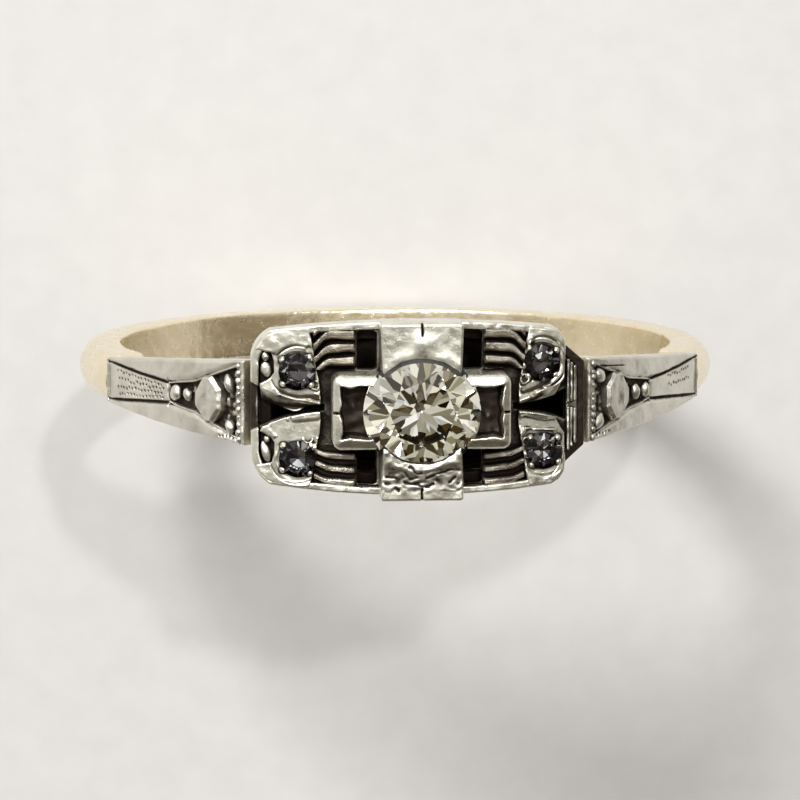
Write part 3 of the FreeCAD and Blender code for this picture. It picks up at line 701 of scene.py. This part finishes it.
def make_leaf(corner, seed):
    """A leaf with a bezel and four grains round its stone, carved with its marks."""
    sx, sy = CORNERS[corner]
    cx, cy = SIDE_STONES[corner]
    flange = 0.34 if corner == "back_left" else 0.0
    outline = flipped(leaf_outline(sx, flange), sx, sy)
    well = flipped(circle(cx, cy, SIDE_SEAT_R, 48), sx, sy)
    def slope(x, y):
        return 1.1 * np.maximum(0.0, gap_edge(np.abs(x)) + 0.02 - np.abs(y)) if flange else 0.0 * x
    def top(x, y, d):
        u, v = x * sx, y * sy
        r = np.hypot(u - cx, v - cy)
        around = np.arctan2(v - cy, u - cx)
        z = 0.025 - rounded(d, 0.05) + uneven(x, y, 0.022, seed)
        one_sided = 0.62 + 0.38 * np.sin(around + 2.4)
        z += ridge(r - 0.585, 0.050, 0.05) - ridge(r - 0.71, 0.045, 0.11) * one_sided
        z -= 0.09 * smooth(0.70, 0.58, r)
        z = carve(z, u, v, LEAF_MARKS[corner])
        for grain_deg in (38, 131, 224, 318):
            turn = math.radians(grain_deg)
            grain = np.hypot(u - cx - 0.53 * math.cos(turn), v - cy - 0.53 * math.sin(turn))
            z = np.maximum(z, hump(grain, 0.10, 0.15) - 0.02)
        return dome(x) + z - slope(x, y)
    def bottom(x, y):
        return dome(x, -PLATE_DROP) - slope(x, y)
    # grime and painted shade darken the flange that slopes into the left gap, and painted shade darkens the
    # leaf's walls
    return relief("leaf_" + corner, [outline, well], top, bottom, 0.0135,
                  grime_and_shade=lambda x, y: 0.5 * smooth(0.0, 0.06, slope(x, y)), under=0.9)


def make_flutes(corner, seed):
    """Three ridges along the head, each steep on one side, bent where they meet the leaf. The back ones are
    higher and painted lighter, and the front ones low and painted in shade."""
    sx, sy = CORNERS[corner]
    x0, x1, y0, y1 = 1.78, 3.00, 1.10, 2.22
    outline = flipped(rounded_box(x0, x1, y0, y1, 0.10), sx, sy)
    bend = 0.34 if sy > 0 else 0.14
    def top(x, y, d):
        u, v = x * sx, y * sy
        lean = bend * smooth(2.40, 3.05, u) ** 2 + 0.05 * (u - 2.3)
        lean += 0.03 * lattice_noise(u, v, 0.4, seed + 3)
        t = np.mod((v + lean - y0) / ((y1 - y0) / 3), 1.0)
        crest = smooth(-0.10 if sy > 0 else 0.20, 0.66, t) * smooth(1.0, 0.90, t)
        z = -0.22 + (0.27 if sy > 0 else 0.16) * crest * (0.4 + 0.6 * smooth(0.0, 0.10, u - x0))
        return dome(x) + z + uneven(x, y, 0.02, seed)
    return relief("flutes_" + corner, [outline], top, into_plate, 0.016,
                  grime_and_shade=-0.25 if sy > 0 else 0.42, under=0.9)


# Creases in the lower claw, each a line of points: out from the head's middle, and along the head.
CREASES = (
    ((1.96, -0.50), (2.04, -0.20), (2.08, 0.05), (2.04, 0.29)),
    ((1.57, -0.39), (1.74, -0.09)),
    ((1.80, -0.98), (1.86, -0.77)),
    ((1.81, 0.14), (1.74, 0.37), (1.63, 0.60), (1.59, 0.84)),
    ((1.76, 0.98), (1.95, 0.79)),
    ((2.18, -0.82), (2.18, -0.63)),
)


def make_claw(name, turn_deg, seed):
    """One arm of the cross, made towards +X. The two across the head lie flat up to the stone's edge, and
    the lower one is folded and creased. The two along it are thick walls round a deep rough recess. Each is
    split at its outer end."""
    across_head, creased = turn_deg in (90, 270), turn_deg == 270
    low, high = box_mm(name)
    if across_head:
        reach, half = max(abs(low.y), abs(high.y)) + 0.03, high.x
        block = rounded_box(1.6, reach, -half, half, 0.10)
        outer_corners = (block[27:], block[:9])
        outline = loop((CLAW_INNER_X, -half + 0.06), *outer_corners, (1.75, half - 0.02),
                       (CLAW_INNER_X, half - 0.06))
    else:
        reach, half = max(abs(low.x), abs(high.x)), high.y + 0.02
        outline = rounded_box(CLAW_INNER_X, reach, -half, half, 0.24)
    stone_edge = 1.37 if across_head else 1.56
    a = math.radians(turn_deg)
    turn = np.array([[math.cos(a), -math.sin(a)], [math.sin(a), math.cos(a)]])
    end_wall, side_wall, recess = 0.25, 0.35, 0.70
    def into_recess(u, v):
        return np.minimum(reach - u - end_wall, half - np.abs(v) - side_wall)
    def flat_top(u, v, d, r):
        z = CLAW_TOP - 0.06 - rounded(d, 0.08)
        if creased:
            within = smooth(2.30, 2.16, u)
            folds = np.sin(21 * u + 4.0 * lattice_noise(u, v, 0.30, seed + 2) + 1.2 * np.abs(v))
            z += ridge(r - 1.58, 0.26, 0.09)
            z += within * (0.008 * folds + 0.014 * lattice_noise(u, 0.6 * v, 0.10, seed + 4))
            wander = 0.07 * lattice_noise(u, v, 0.15, seed + 5)
            for crease in CREASES:
                z -= ridge(path_distance(u + wander, v - wander, crease), 0.045, 0.030)
        else:
            z += ridge(r - 1.64, 0.20, 0.02) + ridge(np.hypot(u - 1.95, v + 0.02), 0.26, 0.06)
        saw_cut = smooth(0.040, 0.018, np.abs(v + 0.01 * np.sin(9 * u)))
        return z - 0.22 * saw_cut * smooth(2.12, 2.20, u)
    def walled_top(u, v, d, r):
        into = into_recess(u, v) + 0.05 * lattice_noise(u, v, 0.25, seed + 6)
        sunk = smooth(-0.03, 0.06, into)
        z = CLAW_TOP - rounded(d, 0.11) - rounded(np.maximum(-into, 0), 0.07) * (1 - sunk)
        z -= 0.10 * smooth(0.30, 0.0, d) * (1 - sunk)
        z -= sunk * (recess + 0.04 * lattice_noise(u + 0.5 * v, v - 0.4 * u, 0.23, seed + 7))
        saw_cut = smooth(0.050, 0.020, np.abs(v)) * smooth(-0.30, -0.20, into) * (1 - sunk)
        return z - 0.20 * saw_cut * smooth(reach - 0.6, reach - 0.3, u)
    def top(u, v, d):
        r = np.hypot(u, v)
        z = (flat_top if across_head else walled_top)(u, v, d, r) + uneven(u, v, 0.013, seed)
        seat = GIRDLE_Z - 0.10 - (STONE_R - r) * PAVILION_SLOPE
        return np.where(r < stone_edge, np.minimum(z, seat), z)
    def place(vertices):
        out = vertices.copy()
        out[:, :2] = vertices[:, :2] @ turn.T
        return out
    # grime and painted shade: the recess between the walls and the lower claw's creased part are painted
    # dark, the flat claws a little
    def grime_and_shade(u, v):
        if across_head:
            return 0.60 * smooth(2.30, 2.14, u) if creased else 0.12
        return 1.2 * smooth(-0.02, 0.05, into_recess(u, v))
    return relief(name + "_arm", [outline], top, CLAW_FOOT, 0.017, place, grime_and_shade)


def make_end_beads():
    """At the left end: a bead and a flattened drop at the back, and a long lozenge and a bead in front."""
    tilt = np.array(Matrix.Rotation(math.radians(14), 3, "Z"))
    flat = np.eye(3)
    items = [
        ((-4.33, 1.45, dome(4.33, -0.12)), (0.12, 0.14, 0.13), flat),
        ((-4.31, 1.06, dome(4.31, -0.18)), (0.17, 0.25, 0.13), tilt),
        ((-4.33, -1.30, dome(4.33, -0.14)), (0.13, 0.34, 0.13), tilt),
        ((-4.29, -0.92, dome(4.29, -0.20)), (0.10, 0.12, 0.10), flat),
    ]
    return blobs("end_beads", items, 71)


def make_end_ribs():
    """Three upright ribs across the right end, broken at the middle and cut off by the taper."""
    rib_width, pitch, first_x = 0.085, 0.10, END_ZONE_X + 0.015
    parts = []
    inner = head_half(1, RIM_WIDTH + 0.02)
    for k in range(3):
        x0 = first_x + pitch * k
        far = float(np.interp(-x0, -inner[:, 0], inner[:, 1]))
        for sy in (1, -1):
            outline = flipped(rounded_box(x0, x0 + rib_width, 0.06 + 0.02 * k, far, 0.025, 4), 1, sy)
            def top(x, y, d):
                crest = dome(x, -PLATE_DROP) + 0.17 - rounded(d, 0.03)
                return crest + uneven(x, y, 0.05, 90 + k) - 0.03 * k
            # grime and painted shade darken the ribs unevenly
            def grime_and_shade(x, y):
                return 0.58 + 0.30 * lattice_noise(x, y, 0.3, 95 + k)
            parts.append(relief("rib", [outline], top, into_plate, 0.012, grime_and_shade=grime_and_shade))
    return joined(parts, "end_ribs")


def joined(parts, name):
    """Several mesh objects as one, keeping their smooth flags and their values of grime and painted shade.
    """
    work = bmesh.new()
    for part in parts:
        work.from_mesh(part.data)
        bpy.data.objects.remove(part)
    mesh = bpy.data.meshes.new(name)
    work.to_mesh(mesh)
    work.free()
    return linked(name, mesh)


# ---- shoulders ----------------------------------------------------------------------------------
def shoulder_arc():
    """Centre and radius of the shoulder's curve, from its tangent point on the shank to its upper end."""
    ux, uz = math.sin(FACING_END), math.cos(FACING_END)
    px, pz = FACING_TOP
    gap = SHANK_R - (px * ux + pz * uz)
    reach = (px - SHANK_R * ux) ** 2 + (pz - SHANK_R * uz) ** 2
    radius = reach / (2 * gap)
    return (SHANK_R - radius) * ux, (SHANK_R - radius) * uz, radius


ARC_X, ARC_Z, ARC_R = shoulder_arc()
ANGLE_TOP = math.asin((FACING_TOP[0] - ARC_X) / ARC_R)


def along(x):
    """Length along the shoulder's surface from its upper end to an x."""
    return (np.arcsin((np.asarray(x) - ARC_X) / ARC_R) - ANGLE_TOP) * ARC_R


def on_shoulder(side):
    """Carries (length along, across, height over the surface) onto the left or right shoulder."""
    def place(v):
        angle = ANGLE_TOP + v[:, 0] / ARC_R
        radius = ARC_R + v[:, 2]
        x, z = ARC_X + radius * np.sin(angle), ARC_Z + radius * np.cos(angle)
        return np.stack([side * x, v[:, 1], z], 1)
    return place


def half_width(s):
    """Half a facing's width at a length along it."""
    z = ARC_Z + ARC_R * np.cos(ANGLE_TOP + s / ARC_R)
    low = SHANK_R * math.cos(FACING_END)
    share = (z - low) / (FACING_TOP[1] - low)
    return FACING_LOW_HALF + share * (FACING_TOP_HALF - FACING_LOW_HALF)


FACING_LENGTH = float(along(SHANK_R * math.sin(FACING_END)))
# The sunk pocket and the stippled panel: half their width at some x along the shoulder.
POCKET = [(5.16, 1.02), (5.60, 0.80), (6.35, 0.42), (7.08, 0.26)]
PANEL = [(7.14, 0.24), (7.90, 0.34), (8.78, 0.50)]


def edge_of(s, points):
    """Half the width of the pocket or the panel at a length along."""
    xs, ys = zip(*points)
    return np.interp(s, along(np.array(xs)), ys)


def stipple(rng, rows):
    """Pits punched in rows across the panel: length along, across, radius and depth of each."""
    first, last, count = float(along(7.26)), float(along(8.62)), 15
    dots = []
    for row in range(rows):
        for k in range(count):
            s = first + (last - first) * (k + 0.5 * (row % 2)) / count + rng.normal(0, 0.010)
            y = (row / (rows - 1) - 0.5) * 1.5 * float(edge_of(s, PANEL)) + rng.normal(0, 0.018)
            dots.append((s, y, rng.uniform(0.034, 0.050), rng.uniform(0.045, 0.075)))
    return dots


def make_facing(name, side, seed):
    """A shoulder's platinum facing: a sunk pocket for the studs, a stippled panel past it, bright cuts along
    both, small nicks beside the cuts, and a plain border."""
    ss = np.linspace(0, FACING_LENGTH, 40)
    edge = np.stack([ss, half_width(ss)], 1)
    outline = loop(edge, edge[::-1] * (1, -1))
    rng = np.random.default_rng(seed)
    dots = stipple(rng, 4 if side < 0 else 3)
    if side > 0:
        dots = [dot for dot in dots if dot[1] > -0.2 and dot[0] > along(7.7)]
    for k in range(7):
        s = 0.22 + 0.13 * k
        dots.append((s, -float(half_width(s)) + 0.15 + rng.normal(0, 0.02), 0.04, 0.05))
    nicks = []
    for k in range(15):
        for sy in (1, -1):
            s = float(along(7.0)) + 0.09 * k
            y = sy * (float(edge_of(s, PANEL)) + 0.02)
            nicks.append(((s, y), (s + 0.06, y + sy * rng.uniform(0.05, 0.10))))
    turn_s, end_s = float(along(7.10)), FACING_LENGTH    # the pocket meets the panel, and the lower end
    def top(s, y, d):
        z = -rounded(d, 0.10) + uneven(s, y, 0.022, seed)
        pocket, panel = edge_of(s, POCKET), edge_of(s, PANEL)
        in_pocket = smooth(-0.03, 0.03, pocket - np.abs(y)) * smooth(0.16, 0.23, s)
        in_pocket *= smooth(turn_s + 0.05, turn_s - 0.03, s)
        z -= in_pocket * (0.24 + 0.03 * lattice_noise(s, y, 0.12, seed + 5))
        in_panel = smooth(-0.02, 0.02, panel - np.abs(y)) * smooth(turn_s, turn_s + 0.06, s)
        z -= 0.045 * in_panel * smooth(end_s - 0.15, end_s - 0.20, s)
        off = np.abs(y) - np.where(s < turn_s, pocket + 0.05, panel + 0.035)
        inner_width, outer_width = 0.026, 0.085
        cut = np.where(off < 0, ridge(off, inner_width, 1.0), ridge(off, outer_width, 1.0))
        deeper = smooth(turn_s - 0.5, turn_s + 0.4, s) * smooth(end_s - 0.1, end_s - 0.9, s)
        cut *= smooth(0.10, 0.18, s) * smooth(end_s - 0.08, end_s - 0.14, s)
        z -= (0.075 + 0.065 * deeper) * cut
        z -= ridge(s - (end_s - 0.12), 0.022, 0.07) * smooth(0.62, 0.55, np.abs(y))
        if side > 0:
            z -= ridge(y - half_width(s) + 0.24, 0.020, 0.06) * smooth(1.85, 1.6, s) * smooth(0.15, 0.25, s)
        for ds, dy, radius, deep in dots:
            near = (np.abs(s - ds) < 2.2 * radius) & (np.abs(y - dy) < 2.2 * radius)
            away = np.square(s[near] - ds) + np.square(y[near] - dy)
            z[near] -= deep * np.exp(-away / radius ** 2 * 1.4)
        for a, b in nicks:
            near = (np.abs(s - a[0]) < 0.2) & (np.abs(y - a[1]) < 0.2)
            z[near] -= ridge(segment_distance(s[near], y[near], a, b), 0.015, 0.035)
        return z
    # grime and painted shade darken the sunk pocket
    def grime_and_shade(s, y):
        in_pocket = smooth(0.02, 0.10, edge_of(s, POCKET) - np.abs(y)) * smooth(0.18, 0.26, s)
        return 0.55 * in_pocket * smooth(turn_s, turn_s - 0.10, s)
    return relief(name, [outline], top, -FACING_DEPTH, 0.0168, on_shoulder(side), grime_and_shade)


def make_stud(name, side, seed):
    """A carved stud of eight unequal sides: sloping facets round a slightly hollow top, a little worn."""
    middle = float(along(5.94 if side < 0 else 5.90))
    a, b = (0.54, 0.68) if side < 0 else (0.53, 0.70)
    corners = [(a, b * 0.30), (0.20, b), (-0.16, b), (-a, b * 0.45),
               (-a, -b * 0.42), (-0.18, -b), (0.16, -b), (a, -b * 0.34)]
    outline = np.array(corners) + (middle, 0)
    def top(s, y, d):
        u, v = s - middle, y
        facets = np.minimum(0.080, 1.1 * d - 0.02)
        dish = 0.035 * smooth(0.12, 0.30, d) * smooth(0.25, 0.0, np.hypot(u, 0.6 * v))
        return 0.01 + facets - dish - 0.04 * np.abs(v) + uneven(s * 1.3, v, 0.030, seed)
    # the stud gets a little less grime and painted shade than its hollows give
    return relief(name, [outline], top, -0.28, 0.015, on_shoulder(side), grime_and_shade=-0.10)


def shoulder_turn(side, x, spin_deg=0.0):
    """The turn of a bead that lies on the shoulder at an x and is spun about its own upright."""
    lean = Matrix.Rotation(side * math.asin((x - ARC_X) / ARC_R), 3, "Y")
    return np.array(lean @ Matrix.Rotation(math.radians(spin_deg), 3, "Z"))


def shoulder_point(side, x, y, height):
    return on_shoulder(side)(np.array([[float(along(x)), y, height]]))[0]


def make_shoulder_beads(name, side, seed):
    """Corner beads and graduated beads: x, across, height, radii and spin of each."""
    if side < 0:
        rows = [(5.40, 0.52, -0.10, (0.14, 0.29, 0.16), 14), (5.38, -0.74, -0.10, (0.16, 0.22, 0.14), 35),
                (6.58, 0.02, -0.10, (0.14, 0.19, 0.13), 10), (6.90, 0.03, -0.08, (0.21, 0.25, 0.14), -28)]
    else:
        rows = [(5.36, 0.66, -0.09, (0.20, 0.24, 0.16), 25), (5.34, -0.66, -0.09, (0.18, 0.26, 0.14), -30),
                (6.60, 0.0, -0.10, (0.14, 0.24, 0.14), 0), (6.92, 0.0, -0.08, (0.15, 0.23, 0.14), 0)]
    items = [(shoulder_point(side, x, y, h), radii, shoulder_turn(side, x, spin))
             for x, y, h, radii, spin in rows]
    return blobs(name, items, seed)


def make_milgrain(name, side, seed):
    """The grained wire across the shoulder's upper end, its grains rubbed into uneven lumps."""
    half = 1.04
    rng = np.random.default_rng(seed)
    items = []
    for k in range(GRAINS):
        y = -half + 2 * half * k / (GRAINS - 1) + rng.normal(0, 0.025)
        size = rng.uniform(0.60, 1.00)
        spin = rng.uniform(-25, 25)
        radii = (0.10 * size, 0.125 * size, 0.10 * size)
        place = shoulder_point(side, MILGRAIN_X, y, -0.01)
        items.append((place, radii, shoulder_turn(side, MILGRAIN_X, spin)))
    wire_radii = (0.085, 1.12, 0.07)
    items.append((shoulder_point(side, MILGRAIN_X, 0, -0.04), wire_radii, shoulder_turn(side, MILGRAIN_X)))
    obj = blobs(name, items, seed)
    # grime and painted shade: the right milgrain is painted darker than the left
    set_shade_and_grime(obj, 0.12 if side < 0 else 0.40)
    return obj


# ---- build --------------------------------------------------------------------------------------
piece(make_rim(), "head_rim")
piece(make_plate(), "pierced_plate")
for seed, corner in enumerate(CORNERS, 11):
    piece(make_leaf(corner, seed), "leaf_mount_" + corner)
    piece(make_flutes(corner, seed + 40), "fluted_panel_" + corner)
for compass, turn in (("east", 0), ("north", 90), ("west", 180), ("south", 270)):
    name = "claw_plate_" + compass
    piece(make_claw(name, turn, 60 + turn), name)
piece(make_end_beads(), "end_beads_left")
piece(make_end_ribs(), "end_ribs_right")
for side_name, side in (("left", -1), ("right", 1)):
    piece(make_facing("facing_" + side_name, side, 100 + side), "shoulder_facing_" + side_name)
    piece(make_stud("stud_" + side_name, side, 120 + side), "shoulder_stud_" + side_name)
    piece(make_shoulder_beads("beads_" + side_name, side, 130 + side), "shoulder_beads_" + side_name)
    piece(make_milgrain("milgrain_" + side_name, side, 140 + side), "milgrain_bar_" + side_name)
piece(softened("hoop", "shank", 0.07, 6, 0.01), "shank")

# The saddle is painted in shade away from its bore, so it looks dark through the openings above it, but less
# so where light reaches it through the left gap.
saddle = piece(softened("saddle", "finger_bearer", 0.05, 4, 0.008), "finger_bearer")
x, y, z = points_mm(saddle)
lit_through_gap = smooth(-4.5, -4.3, x) * smooth(-2.7, -3.1, x) * smooth(-0.12, -0.02, y)
set_shade_and_grime(saddle, smooth(0.15, 0.35, np.hypot(x, z) - FINGER_R) * (1.3 - 0.85 * lit_through_gap))

# The gallery walls have painted shade on the side that faces in, which starts further in lower down.
for name in ("gallery_back", "gallery_front", "gallery_end_left", "gallery_end_right"):
    wall = piece(softened(name + "_wall", name, 0.035, 4, 0.006), name)
    x, y, z = points_mm(wall)
    inset, _, _ = nearest_on(x, y, [head_outline()])
    set_shade_and_grime(wall, 2.0 * smooth(0.06, 0.16, inset - 0.10 - 0.10 * (11.0 - z)))
piece(softened("collet", "centre_collet", 0.03, 4, 0.004), "centre_collet")

for name, obj in NODES.items():
    if "diamond" in name:
        for place in obj.material_slots:
            place.material = SHADE_PAINTED_DIAMONDS.get(name, MATERIALS["diamond"])


# ---- stage --------------------------------------------------------------------------------------
def floor_material():
    material, tree, shader = node_tree("pale_floor")
    place = add(tree, "ShaderNodeTexCoord", {}).outputs["Object"]
    grain = add(tree, "ShaderNodeTexNoise", {"Vector": place, "Scale": 900.0}).outputs["Fac"]
    shades = [(0.3, (0.66, 0.65, 0.64)), (0.7, (0.69, 0.68, 0.67))]
    feed(tree, shader, {"Roughness": 0.85, "Base Color": ramp(tree, grain, shades)})
    return material


def make_floor(half=0.6, drop=0.00002):
    mesh = bpy.data.meshes.new("floor")
    corners = [(-half, -half, 0), (half, -half, 0), (half, half, 0), (-half, half, 0)]
    mesh.from_pydata(corners, [], [(0, 1, 2, 3)])
    mesh.materials.append(floor_material())
    obj = linked("floor", mesh)
    obj.location.z = cad_box[0][2] - drop


def soft_light(name, location, size, power, color):
    """A round lamp that points at the ring's middle."""
    data = bpy.data.lights.new(name, "AREA")
    data.shape = "DISK"
    data.size = size
    data.energy = power
    data.color = color
    obj = linked(name, data)
    obj.location = location
    obj.rotation_euler = (-Vector(location)).to_track_quat("-Z", "Y").to_euler()


def make_room(back):
    """Surroundings for the metal and stones to mirror: a wide window beyond the back of the ring, falling to
    dark in front, soft blotches, and dark patches overhead. One is where the picture is seen from."""
    world = bpy.data.worlds.new("room")
    world.use_nodes = True
    bpy.context.scene.world = world
    tree = world.node_tree
    direction = add(tree, "ShaderNodeTexCoord", {}).outputs["Generated"]

    def towards(target, stops):
        aim = Vector(target).normalized()
        dot = add(tree, "ShaderNodeVectorMath", {0: direction, 1: aim}, operation="DOT_PRODUCT")
        half_way = maths(tree, "ADD", maths(tree, "MULTIPLY", dot.outputs["Value"], 0.5), 0.5)
        return ramp(tree, half_way, [((c + 1) / 2, color) for c, color in stops])

    glow = [(-0.40, (0.05, 0.04, 0.03)), (0.15, (0.21, 0.18, 0.145)), (0.42, (0.58, 0.575, 0.54)),
            (0.80, grey(0.62)), (0.95, grey(0.78))]
    window = towards((-0.25, 0.80, 0.55), glow)
    blotches = add(tree, "ShaderNodeTexNoise", {"Vector": direction, "Scale": 2.4, "Detail": 2.0})
    uneven_light = ramp(tree, blotches.outputs["Fac"], [(0.38, grey(0.40)), (0.60, grey(1.0))])
    light = mix_colors(tree, 1.0, window, uneven_light, "MULTIPLY")
    patches = (    # direction, radius in degrees, and shade
        ((0.0, -0.16, 0.99), 11, (0.07, 0.045, 0.012)),
        (back, 12, (0.40, 0.38, 0.28)),
        ((-0.03, -0.46, 0.89), 15, (0.07, 0.045, 0.012)),
        ((0.72, -0.18, 0.67), 11, (0.16, 0.10, 0.04)),
        ((-0.72, -0.14, 0.67), 11, (0.10, 0.06, 0.03)),
    )
    for target, radius, shade in patches:
        edge, middle = math.cos(math.radians(radius + 2)), math.cos(math.radians(radius - 2))
        patch = towards(target, [(edge, grey(1.0)), (middle, shade)])
        light = mix_colors(tree, 1.0, light, patch, "MULTIPLY")
    feed(tree, tree.nodes["Background"], {"Color": light, "Strength": 1.75})


# The camera is over the ring, a little to its left and back, with the finger's axis upright in the picture.
VIEW_FROM = Vector((-0.064, 0.13, 0.99)).normalized()
VIEW_DISTANCE = 0.120
VIEW_WIDTH = 24.84 * MM             # what the picture takes in at the finger's centre
RIGHT_OF_CENTRE, BELOW_CENTRE = 0.155 * MM, 1.21 * MM    # where the picture's middle is from there


def make_camera():
    right = Vector((0, 1, 0)).cross(VIEW_FROM).normalized()
    up = VIEW_FROM.cross(right).normalized()
    data = bpy.data.cameras.new("photo_view")
    data.sensor_width = 36
    data.lens = data.sensor_width * VIEW_DISTANCE / VIEW_WIDTH
    data.clip_start = 0.001
    obj = linked("photo_view", data)
    pose = Matrix((right, up, VIEW_FROM)).transposed().to_4x4()
    pose.translation = right * RIGHT_OF_CENTRE - up * BELOW_CENTRE + VIEW_FROM * VIEW_DISTANCE
    obj.matrix_world = pose
    bpy.context.scene.camera = obj


make_floor()
soft_light("key", (-0.14, 0.24, 0.30), 0.12, 1.3, (1.0, 0.985, 0.96))
soft_light("spark", (0.05, 0.16, 0.40), 0.02, 0.35, (1.0, 1.0, 1.0))
make_room(VIEW_FROM)
make_camera()
bpy.context.scene.view_settings.view_transform = "Standard"
